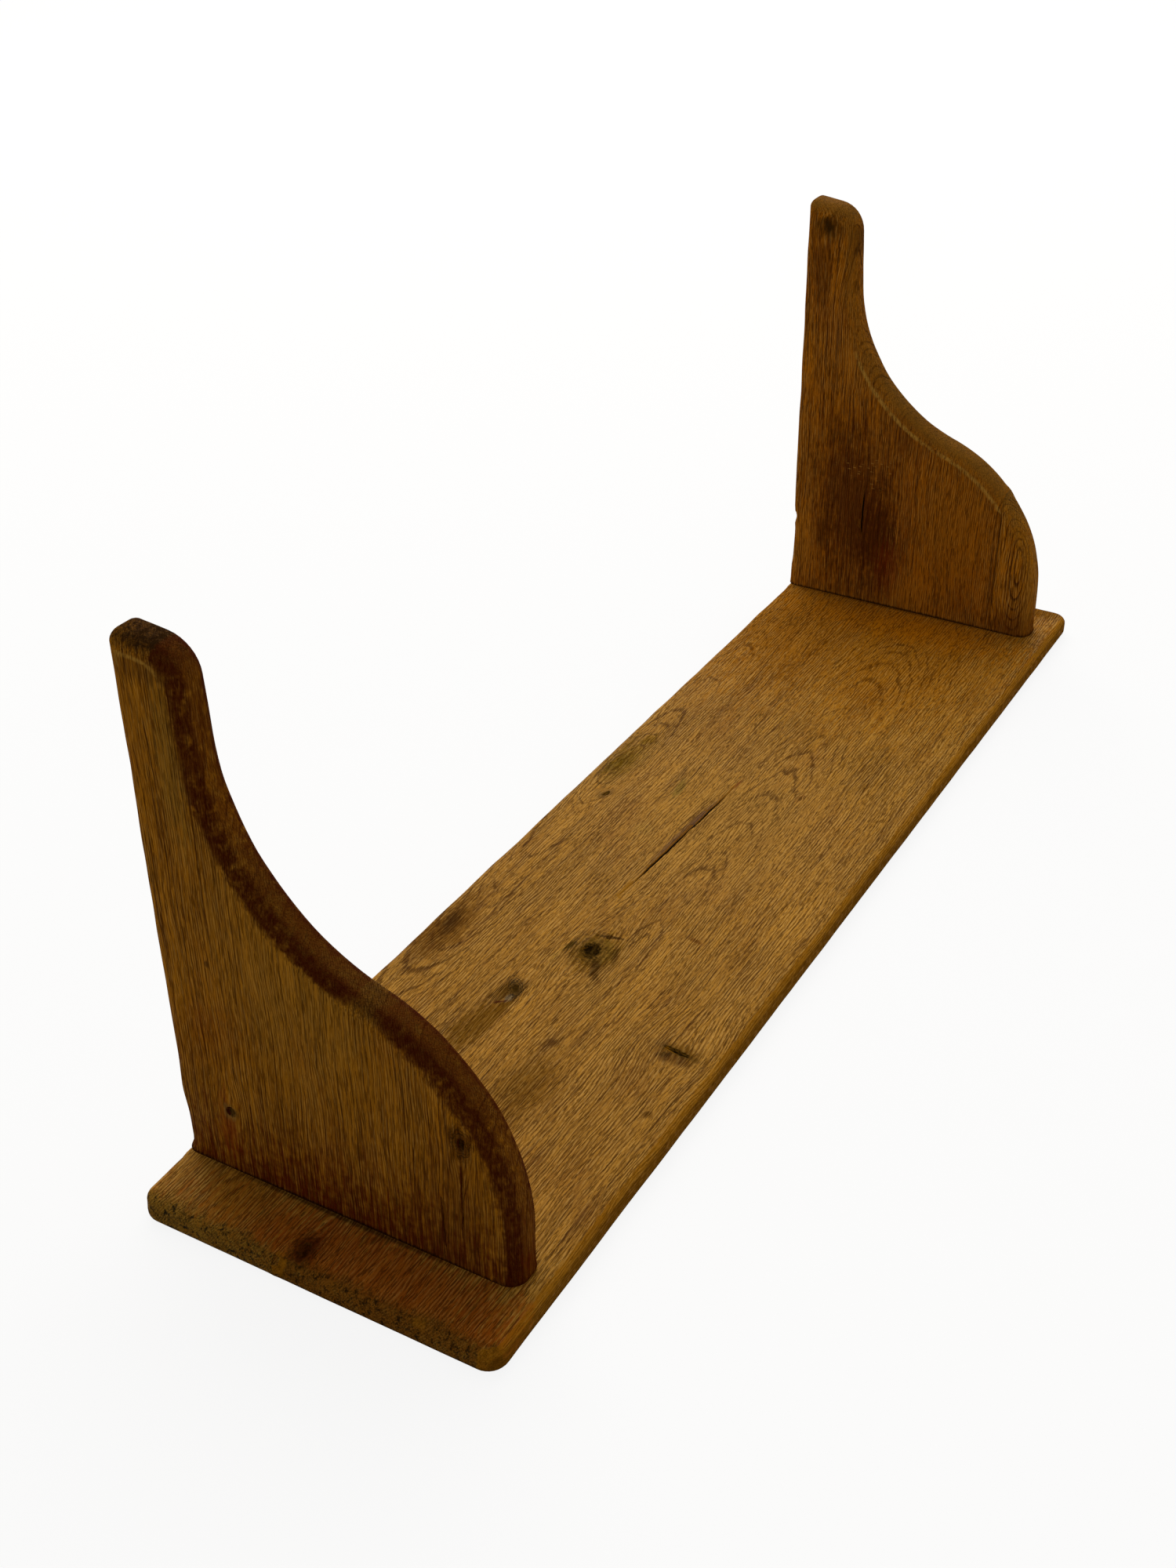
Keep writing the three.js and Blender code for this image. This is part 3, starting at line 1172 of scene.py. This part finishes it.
    def open_crack(
        self,
        cut: Crack,
        place: np.ndarray,
        grid: tuple[np.ndarray, np.ndarray],
        show: np.ndarray,
        crack: np.ndarray,
    ) -> None:
        """Lowers a crack's middle line, and draws its sides together towards its ends.

        Args:
            cut: The crack.
            place: The vertices in millimetres, which are moved.
            grid: The vertices' places along and across the grain.
            show: Which vertices lie in the show face.
            crack: How deep in a crack each vertex is, which is filled in.
        """
        axes = np.array(self.finish.grain.value)
        side = axes[1] * cut.way[0] - axes[0] * cut.way[1]
        share, off = cut.offsets(*grid)
        for i in np.flatnonzero(show & cut.near(*grid, cut.slack[0], cut.width / 2 + cut.slack[1])):
            taper = min(1.0, max(0.0, cut.taper * share[i]), max(0.0, cut.taper * (1.0 - share[i])))
            at = Vector((share[i] * cut.span / cut.waver_span, cut.start[0], 0.0))
            place[i] += side * (noise.noise(at) * cut.waver * taper - off[i] * (1.0 - taper))
            if abs(off[i]) < self.touch:
                place[i] -= self.outward() * cut.depth * taper
                crack[i] = taper

    def outward(self) -> np.ndarray:
        """Finds the way that the show face looks.

        Returns:
            The way, 1 long.
        """
        low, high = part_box(self.node)
        through = np.array(self.finish.grain.value[2])
        middle = (np.array(low) + np.array(high)) / 2 / MM
        return through * np.sign((np.array(self.finish.origin) - middle) @ through)

    def free(self, place: np.ndarray) -> np.ndarray:
        """Gives how freely each vertex may be worn: 0 on a glued plane or under a bracket, 1 away from them.

        Args:
            place: The vertices in millimetres.

        Returns:
            A number from 0 to 1 for each.
        """
        free = np.ones(len(place))
        for axis, level in self.glued:
            free *= smooth(np.abs(place[:, axis] - level), self.wear.by_glue, self.wear.fade)
        for low, high, front in self.footprints:
            beside = np.maximum(low - place[:, 0], place[:, 0] - high)
            free *= smooth(np.maximum(beside, front - place[:, 1]), self.wear.by_foot, self.wear.fade)
        return free

    @staticmethod
    def grid_noise(place: np.ndarray, span: float, shift: float) -> np.ndarray:
        """Gives smooth noise from 0 to 1 at each place, in waves of a span. `shift` moves its pattern."""
        waves = [noise.fractal(Vector(p) / span + Vector((shift, 0, 0)), 1.0, 2.0, 2) for p in place]
        return np.clip(0.5 + 0.5 * np.array(waves), 0.0, 1.0)


@dataclass
class Board:
    """The shelf's board, glued up from two staves."""

    slot: str = "board_oak"
    joint: float = 22.0
    top: float = 15.0
    left: float = -430.0
    front: float = -110.0
    footprints: tuple[Triple, ...] = ((-389.0, -364.0, -97.0), (371.0, 396.0, -94.0))

    def build(self) -> list[bpy.types.Object]:
        """Makes both staves.

        Returns:
            The staves.
        """
        wear = Wear(dents=self.dents())
        return [
            OakPiece(node, self.slot, finish, ((1, self.joint),), self.footprints, wear).build()
            for node, finish in (
                ("board_front_stave", self.front_finish()),
                ("board_back_stave", self.back_finish()),
            )
        ]

    def dents(self) -> tuple[Dent, ...]:
        """Lists where the board was worn: most at its left end, which was gripped and knocked.

        Returns:
            The dents.
        """
        end, below = self.left, self.top - 1.0
        return (
            Dent((end, -100.0, self.top), 13.0, 1.5, end=(end, 100.0, self.top)),
            Dent((end, -72.0, below), 14.0, 0.8),
            Dent((end, -20.0, below), 12.0, 0.6),
            Dent((end, 48.0, below), 14.0, 0.9),
            Dent((end, 92.0, below), 12.0, 0.8),
            Dent((-300.0, self.front, self.top), 30.0, 0.6),
            Dent((-190.0, self.front, self.top), 14.0, 0.7),
        )

    def finish(self, **own: object) -> OakFinish:
        """Gives what both staves have in common, with a stave's own figure, colours and marks."""
        origin = (0.0, 0.0, self.top)
        return OakFinish(Grain.ALONG_SHELF, origin, ridged_over=0.15, sawn_from=(0.08, 0.42), **own)

    def shared_stains(self) -> tuple[ColourPatch, ...]:
        """Lists the patches that both staves share: a redder and golden left end, painted light beside the
        right bracket, painted sheen in the middle, painted shade at the right end, and painted contact
        shade, with old wax, beside the brackets.

        Returns:
            The patches.
        """
        lines = (edge for low, high, _ in self.footprints for edge in (low - 1, high + 1))
        return (
            ColourPatch(-414, -30, 72, 280, "9a3e05", 0.62, raggedness=1.6, softness=0.6, matt=0.9),
            ColourPatch(-400, 60, 60, 60, "a86a18", 0.5),
            # painted light: a bright patch beside the right bracket that lifts the bracket's shadow
            ColourPatch(345, 0, 76, 260, "d8820e", 0.8, softness=0.8, matt=0.9),
            # painted sheen: a pale patch over the middle of the board
            ColourPatch(30, 0, 260, 220, "cc9850", 0.28, softness=0.9),
            # painted shade: the right end darkened against the sheen there
            ColourPatch(424, -60, 40, 130, "5c4018", 0.62),
            ColourPatch(422, -90, 36, 50, "60420f", 0.62),
            # painted contact shade, with old wax: dark lines along both sides of each bracket's foot
            *(ColourPatch(x, 8, 5, 216, "1d0c03", 0.75, raggedness=0.7, softness=0.8, skin=6) for x in lines),
        )

    def front_finish(self) -> OakFinish:
        """Describes the front stave: cathedral figure round one large knot, and a crack near the joint.

        Returns:
            Its finish.
        """
        return self.finish(
            figure=Figure(pith=(-140, -16), depth=5, slope=0.115, strength=0.29, wander=6.5, ripple=2.2),
            colours=OakColours(end="6e4c14", end_pore="150e06"),
            blotched=0.85,
            marks=(
                *self.shared_stains(),
                # orange wood near the right bracket, made lighter as painted light against the bracket's
                # shadow
                ColourPatch(335, -20, 420, 260, "b06600", 0.5, softness=0.8, matt=0.95),
                ColourPatch(-137, 3, 58, 44, "62420c", 0.5, softness=0.6, matt=0.9),
                ColourPatch(-134, 2, 30, 26, "8a6a24", 0.5, softness=0.5),
                ColourPatch(-150, -4, 38, 10, "2c1502", 0.85, turn=30),
                ColourPatch(-118.5, 2, 4.5, 22, "2a1602", 0.9, turn=14, softness=0.6),
                ColourPatch(-132, -8, 24, 6, "362002", 0.7, turn=20),
                ColourPatch(-137, 20.5, 18, 8, "2a2402", 0.8),
                ColourPatch(-97, -44, 5, 18, "5a2c10", 0.6, turn=-12),
                ColourPatch(-247, -92, 9, 7, "4a2a10", 0.6),
                ColourPatch(-195, -84, 26, 42, "54340a", 0.6),
                ColourPatch(-200, -84, 16, 24, "4c3424", 0.4),
                ColourPatch(-199, -76, 6, 12, "221404", 0.7, turn=30),
                ColourPatch(74, 11, 26, 3, "6a2c14", 0.7, turn=-3),
                ColourPatch(-262, -22, 110, 60, "5f3c0f", 0.6, softness=0.9),
            ),
            knots=(
                Knot(
                    -135.6, 6.3, 14, 11, turn=25, depth=0.6, darkness=0.97, halo=0.6, rim=0.6, curls=0.5,
                    push=-7,
                ),
                Knot(-193.6, -82, 3.2, 17, turn=-7, darkness=1, halo=0.45, push=-1.5, flow=0.3),
                Knot(79, -34, 6, 2.4, depth=0.2, darkness=0.55, halo=0.3, halo_colour="6a2c10"),
                Knot(
                    -417, 11, 11, 7.5, depth=0.5, darkness=0.7, halo=0.7, halo_size=2.8,
                    halo_colour="421204", curls=0.5, push=-2,
                ),
            ),
            cracks=(Crack((-80, 19), (72, 11), width=2.2, depth=2.4, greyed=0.8),),
            arrises=(
                ArrisTint((0, -1, 0), "a4680c", 0.6, mottle=0.5, matt=0.9),
                # painted shade: a darker, matt colour on the lower front roundover, where it faces down
                ArrisTint((0, -0.45, -0.9), "4a2a06", 0.45, start=(1.5, 0.8), mottle=1.2, matt=1),
            ),
        )

    def back_finish(self) -> OakFinish:
        """Describes the back stave: smoky patches, a pin knot, and a dark wedge that the joint cuts off.

        Returns:
            Its finish.
        """
        return self.finish(
            figure=Figure(pith=(50, 92), depth=4, slope=0.12, wander=6, ripple=2),
            colours=OakColours(end="7a5a1a", end_pore="15120a"),
            blotched=0.95,
            seed=20.0,
            marks=(
                *self.shared_stains(),
                # orange wood near the right bracket, made lighter as painted light against the bracket's
                # shadow
                ColourPatch(340, 60, 440, 240, "a45c00", 0.5, softness=0.8, matt=0.95),
                ColourPatch(-222, 27, 92, 38, "5c3a08", 0.68, turn=-16, raggedness=1.6, matt=0.9),
                ColourPatch(-193, 29, 40, 24, "2e1a02", 0.65, turn=-24),
                ColourPatch(-198, 26.5, 12, 6.5, "8c7a58", 0.75, softness=0.6),
                ColourPatch(-204, 29, 15, 3, "45180b", 0.85, turn=-50),
                ColourPatch(-158, 96, 120, 44, "643c0e", 0.8, softness=0.8),
                ColourPatch(-153, 97, 46, 16, "3a2006", 0.85, turn=10, softness=0.9),
                ColourPatch(-150, 20, 40, 10, "7a6428", 0.5),
                ColourPatch(64, 94, 104, 34, "6e5410", 0.6, softness=0.9),
                ColourPatch(56, 98, 44, 10, "4a3806", 0.55, turn=-12, softness=0.9),
                ColourPatch(98, 92, 24, 16, "5e480a", 0.4),
                ColourPatch(52, 44, 38, 9, "6e6228", 0.5, turn=8),
                ColourPatch(-4, 42, 20, 18, "b28a44", 0.35),
            ),
            knots=(
                Knot(21, 84.5, 7, 3.2, turn=-20, depth=0.5, darkness=0.8, halo=0.55, halo_size=3.4, push=-2),
                Knot(
                    -189, 27.5, 9, 4, turn=35, depth=0.4, darkness=0.7, halo=0.6, rim=0.2,
                    curls=0.95, push=-5,
                ),
                Knot(
                    60, 97, 14, 8, depth=0.1, darkness=0, halo=0.15, halo_colour="453606", curls=0.3, push=-9
                ),
            ),
        )


@dataclass
class Brackets:
    """The two upright ogee brackets."""

    slot: str = "bracket_oak"
    base: float = 15.0
    back: float = 110.0
    left_face: float = -389.0
    right_face: float = 371.0
    right_joint: float = -62.0
    front: Triple = (0.0, -0.95, -0.3)
    front_and_up: Triple = (0.0, -0.75, 0.66)

    def build(self) -> list[bpy.types.Object]:
        """Makes the left bracket and the right bracket's two staves.

        Returns:
            The three pieces.
        """
        base, joint = (2, self.base), (1, self.right_joint)
        rubbed = Dent((self.left_face, self.back, 28.0), 32.0, 1.3)
        chip = Dent((self.right_face + 4.0, self.back, 74.0), 6.5, 3.6)
        under_chip = (self.right_face, self.back, 40.0)
        below = Dent((self.right_face + 2.0, self.back, 62.0), 12.0, 1.1, end=under_chip)
        pieces = (
            ("left_bracket", self.left_finish(), (base,), (rubbed,)),
            ("right_bracket_back_stave", self.rear_finish(), (base, joint), (chip, below)),
            ("right_bracket_front_stave", self.front_finish(), (base, joint), ()),
        )
        return [
            OakPiece(node, self.slot, finish, glued, wear=Wear(dents=dents)).build()
            for node, finish, glued, dents in pieces
        ]

    def finish(self, face: float, **own: object) -> OakFinish:
        """Gives what all bracket staves have in common, with a stave's own figure, colours and marks."""
        return OakFinish(Grain.UPRIGHT, (face, self.back, self.base), **own)

    def foot(self) -> ColourPatch:
        """The dark line where a bracket meets the board: painted contact shade, with old wax."""
        return ColourPatch(0, 100, 5, 400, "150a05", 0.85, raggedness=1)

    def painted_highlight_arris(self) -> ArrisTint:
        """A painted highlight on the right bracket's front roundover, where it faces up and forward."""
        return ArrisTint(self.front_and_up, "9a641a", 0.35, crown=(0.0, 0.6), matt=0.5)

    def left_finish(self) -> OakFinish:
        """Describes the left bracket: straight upright grain, two knots, and a dark red foot.

        Returns:
            Its finish.
        """
        return self.finish(
            self.left_face,
            figure=Figure(pith=(150, -170), depth=80, slope=0.02, strength=0.55),
            colours=OakColours(light="b07116", dark="562d07", red="7a3608", end="2e1c0c"),
            pore=(14.0, 0.8),
            pored=0.55,
            fibrous=1.9,
            pitted=0.2,
            ridged=0.3,
            grooved=0.65,
            row=1.5,
            dull=0.75,
            seed=40.0,
            marks=(
                ColourPatch(-18, 100, 160, 460, "520a02", 0.9, raggedness=1.8, softness=0.9),
                ColourPatch(150, 90, 240, 150, "a87a28", 0.3, softness=0.9),
                ColourPatch(30, 170, 150, 70, "5a2c0c", 0.4),
                ColourPatch(250, 30, 130, 22, "7f6526", 0.35),
                ColourPatch(30, 33, 60, 16, "8a3a10", 0.4),
                ColourPatch(41, 36, 14, 12, "a8803c", 0.5, softness=0.5),
                ColourPatch(198, 62, 7, 5, "3a1c0a", 0.7),
                ColourPatch(136, 34, 5, 4, "3a1c0a", 0.6),
                ColourPatch(312, 36, 22, 90, "180c05", 0.9, softness=0.6, matt=0.95),
                ColourPatch(296, 22, 20, 60, "4a2c10", 0.4),
                WornLine(299, 22, 14, 60, breadth=1.6),
                # painted contact shade, with old wax, at the foot
                self.foot(),
            ),
            knots=(
                Knot(41, 36, 6, 5.2, depth=1, darkness=0.95, halo=0.25, push=-2),
                Knot(
                    84, 178, 8, 4.4, depth=0.6, darkness=0.95, halo=0.6, halo_size=3.4, halo_colour="3c1604",
                    curls=0.75, push=-9, flow=0.8,
                ),
            ),
            cracks=(
                Crack((20, 176.5), (70, 178), width=0.35, depth=0.5),
                Crack((12, 166), (44, 165), width=0.3, depth=0.5),
            ),
            arrises=(
                # dark red-brown front roundover, with painted shade where it faces front and down, away from
                # the light
                ArrisTint(
                    self.front, "562605", 0.75, start=(1.0, 0.86), crown=(-0.6, 0.1), mottle=0.9, matt=0.75,
                    speckle=0.4,
                ),
                # the darkest part of that painted shade, with the wood's dark red
                ArrisTint(
                    self.front, "3c0e03", 0.9, start=(1.0, 0.9), crown=(0.0, 0.5), mottle=0.9, speckle=0.4
                ),
            ),
        )

    def rear_finish(self) -> OakFinish:
        """Describes the right bracket's main stave: a dark red heart, a golden side, and ray flecks.

        Returns:
            Its finish.
        """
        return self.finish(
            self.right_face,
            figure=Figure(pith=(150, 330), depth=90, slope=0.03, strength=0.4),
            colours=OakColours(light="b46c10", dark="542806", red="7a3406"),
            pore=(12.0, 0.8),
            fibrous=2.2,
            pitted=0.2,
            sway=7.0,
            ridged=0.35,
            grooved=0.6,
            row=1.5,
            dull=0.7,
            seed=60.0,
            marks=(
                ColourPatch(70, 138, 170, 84, "ac680c", 0.5, softness=0.8),
                ColourPatch(80, 56, 210, 100, "4a1c06", 0.75, turn=-8, softness=0.8),
                ColourPatch(58, 74, 120, 44, "380e04", 0.5, raggedness=1.6),
                ColourPatch(34, 84, 60, 30, "7a2c08", 0.5),
                ColourPatch(60, 30, 90, 16, "3a1606", 0.5, turn=8),
                ColourPatch(150, 95, 60, 60, "5a3010", 0.4),
                ColourPatch(14, 108, 50, 50, "c07818", 0.55, softness=0.9),
                ColourPatch(40, 12, 90, 26, "b87418", 0.4, softness=0.9),
                ColourPatch(262, 16, 70, 20, "4a2c0e", 0.4),
                ColourPatch(295, 19, 22, 26, "180d06", 0.9, turn=20, raggedness=1.4, softness=0.9),
                ColourPatch(288, 40, 30, 12, "35200c", 0.5),
                RayFlecks(112, 62, 36, 58),
                WornLine(176, 80, 120, 90, strength=0.9),
                WornLine(122, 150, 120, 90, strength=0.8),
                # painted contact shade, with old wax, at the foot
                self.foot(),
            ),
            # painted highlight on the front roundover
            arrises=(self.painted_highlight_arris(),),
            knots=(Knot(295, 19, 9, 12, depth=0.3, darkness=0, halo=0.3, halo_size=3.2, push=-3),),
            cracks=(Crack((54, 60.5), (97, 61.5), width=1.6, depth=2),),
        )

    def front_finish(self) -> OakFinish:
        """Describes the right bracket's narrow front stave, with closed loops of grain.

        Returns:
            Its finish.
        """
        return self.finish(
            self.right_face,
            figure=Figure(pith=(64, 191), depth=-9.5, slope=0.35, strength=0.85, wander=2.5, ripple=1.2),
            colours=OakColours(light="bc7614", dark="5c2e06", red="803a06"),
            pore=(16.0, 1.0),
            fibrous=1.0,
            sway=3.0,
            dull=0.7,
            seed=80.0,
            marks=(
                ColourPatch(0, 190, 60, 60, "5a260a", 0.5),
                ColourPatch(60, 172.5, 190, 2, "2c1406", 0.7),
                # painted contact shade, with old wax, at the foot
                self.foot(),
            ),
            # painted highlight on the front roundover
            arrises=(self.painted_highlight_arris(),),
        )


@dataclass
class Screws:
    """The six countersunk screws under the board."""

    slot: str = "steel"

    def build(self) -> list[bpy.types.Object]:
        """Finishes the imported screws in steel.

        Returns:
            The screws.
        """
        steel = SteelFinish().material("steel_finish")
        screws = [o for name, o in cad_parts.items() if "_screw_" in name]
        for screw in screws:
            screw.data.materials.clear()
            screw.data.materials.append(steel)
            log.info("%s: finished in steel", screw.name)
        return screws


@dataclass
class Studio:
    """A pale floor, a large soft lamp behind and to the right, even light from all round, and the camera."""

    lens: float = 43.62
    sensor: float = 36.0
    camera_at: Triple = (-927.3, -452.0, 718.2)
    looks_at: Triple = (25.5, 101.1, 15.0)
    roll: float = math.radians(0.687)
    ambient: float = 0.34
    key_at: Triple = (2000.0, 1250.0, 2600.0)
    key_size: float = 3600.0
    key_watts: float = 96.0
    floor_size: float = 12.0
    floor_drop: float = 0.3
    floor_colour: str = "cfccc6"
    floor_white: float = 0.8
    floor_glow: float = 1.1
    white: str = "ffffff"

    def build(self) -> None:
        """Sets up the floor, the world, the lamp and the camera."""
        self.floor()
        self.world()
        self.lamp()
        self.camera()
        bpy.context.scene.view_settings.view_transform = "Standard"
        log.info("studio: ready")

    @staticmethod
    def unseen_light(sh: Shader) -> Value:
        """Gives 1 for what is seen, mirrored or seen through glass, and 0 for what only lights the shelf."""
        rays = [sh.node("LightPath", output=f"Is {ray} Ray") for ray in ("Camera", "Glossy", "Transmission")]
        return (rays[0] + rays[1] + rays[2]).at_most(1.0)

    def floor(self) -> None:
        """Lays a pale floor that looks white where nothing shades it."""
        bm = bmesh.new()
        bmesh.ops.create_grid(bm, x_segments=1, y_segments=1, size=self.floor_size)
        mesh = bpy.data.meshes.new("floor")
        bm.to_mesh(mesh)
        bm.free()
        floor = bpy.data.objects.new("floor", mesh)
        floor.location.z = -self.floor_drop * MM
        bpy.context.scene.collection.objects.link(floor)
        sh = Shader(bpy.data.materials.new("floor_finish"))
        matt = sh.node("BsdfDiffuse", {"Color": linear(self.floor_colour)})
        glow = sh.node("Emission", {"Color": linear(self.white), "Strength": self.floor_glow})
        shown = self.unseen_light(sh) * self.floor_white
        sh.node("OutputMaterial", {"Surface": sh.node("MixShader", {0: shown, 1: matt, 2: glow})})
        mesh.materials.append(sh.owner)

    def world(self) -> None:
        """Lights the scene evenly from all round, and shows white behind it."""
        world = bpy.data.worlds.new("studio_light")
        bpy.context.scene.world = world
        sh = Shader(world)
        even = sh.node("Background", {"Color": linear(self.white), "Strength": self.ambient})
        white = sh.node("Background", {"Color": linear(self.white), "Strength": 1.0})
        surface = sh.node("MixShader", {0: self.unseen_light(sh), 1: even, 2: white})
        sh.node("OutputWorld", {"Surface": surface})

    def lamp(self) -> None:
        """Hangs the soft square lamp, pointing at the shelf."""
        data = bpy.data.lights.new("key", "AREA")
        data.size = self.key_size * MM
        data.energy = self.key_watts
        lamp = bpy.data.objects.new("key", data)
        lamp.location = Vector(self.key_at) * MM
        lamp.rotation_mode = "QUATERNION"
        lamp.rotation_quaternion = (-lamp.location).to_track_quat("-Z", "Y")
        bpy.context.scene.collection.objects.link(lamp)

    def camera(self) -> None:
        """Places the camera where the photograph was taken from."""
        data = bpy.data.cameras.new("camera")
        data.lens = self.lens
        data.sensor_width = self.sensor
        camera = bpy.data.objects.new("camera", data)
        place = Vector(self.camera_at) * MM
        towards = Vector(self.looks_at) * MM - place
        turn = towards.to_track_quat("-Z", "Y").to_matrix().to_4x4()
        camera.matrix_world = Matrix.Translation(place) @ turn @ Matrix.Rotation(-self.roll, 4, "Z")
        bpy.context.scene.collection.objects.link(camera)
        bpy.context.scene.camera = camera


def main() -> None:
    """Builds the shelf and its studio."""
    logging.basicConfig(level=logging.INFO, format="%(name)s: %(message)s")
    for part in (Board(), Brackets(), Screws()):
        part.build()
    Studio().build()


if __name__ == "__main__":
    main()
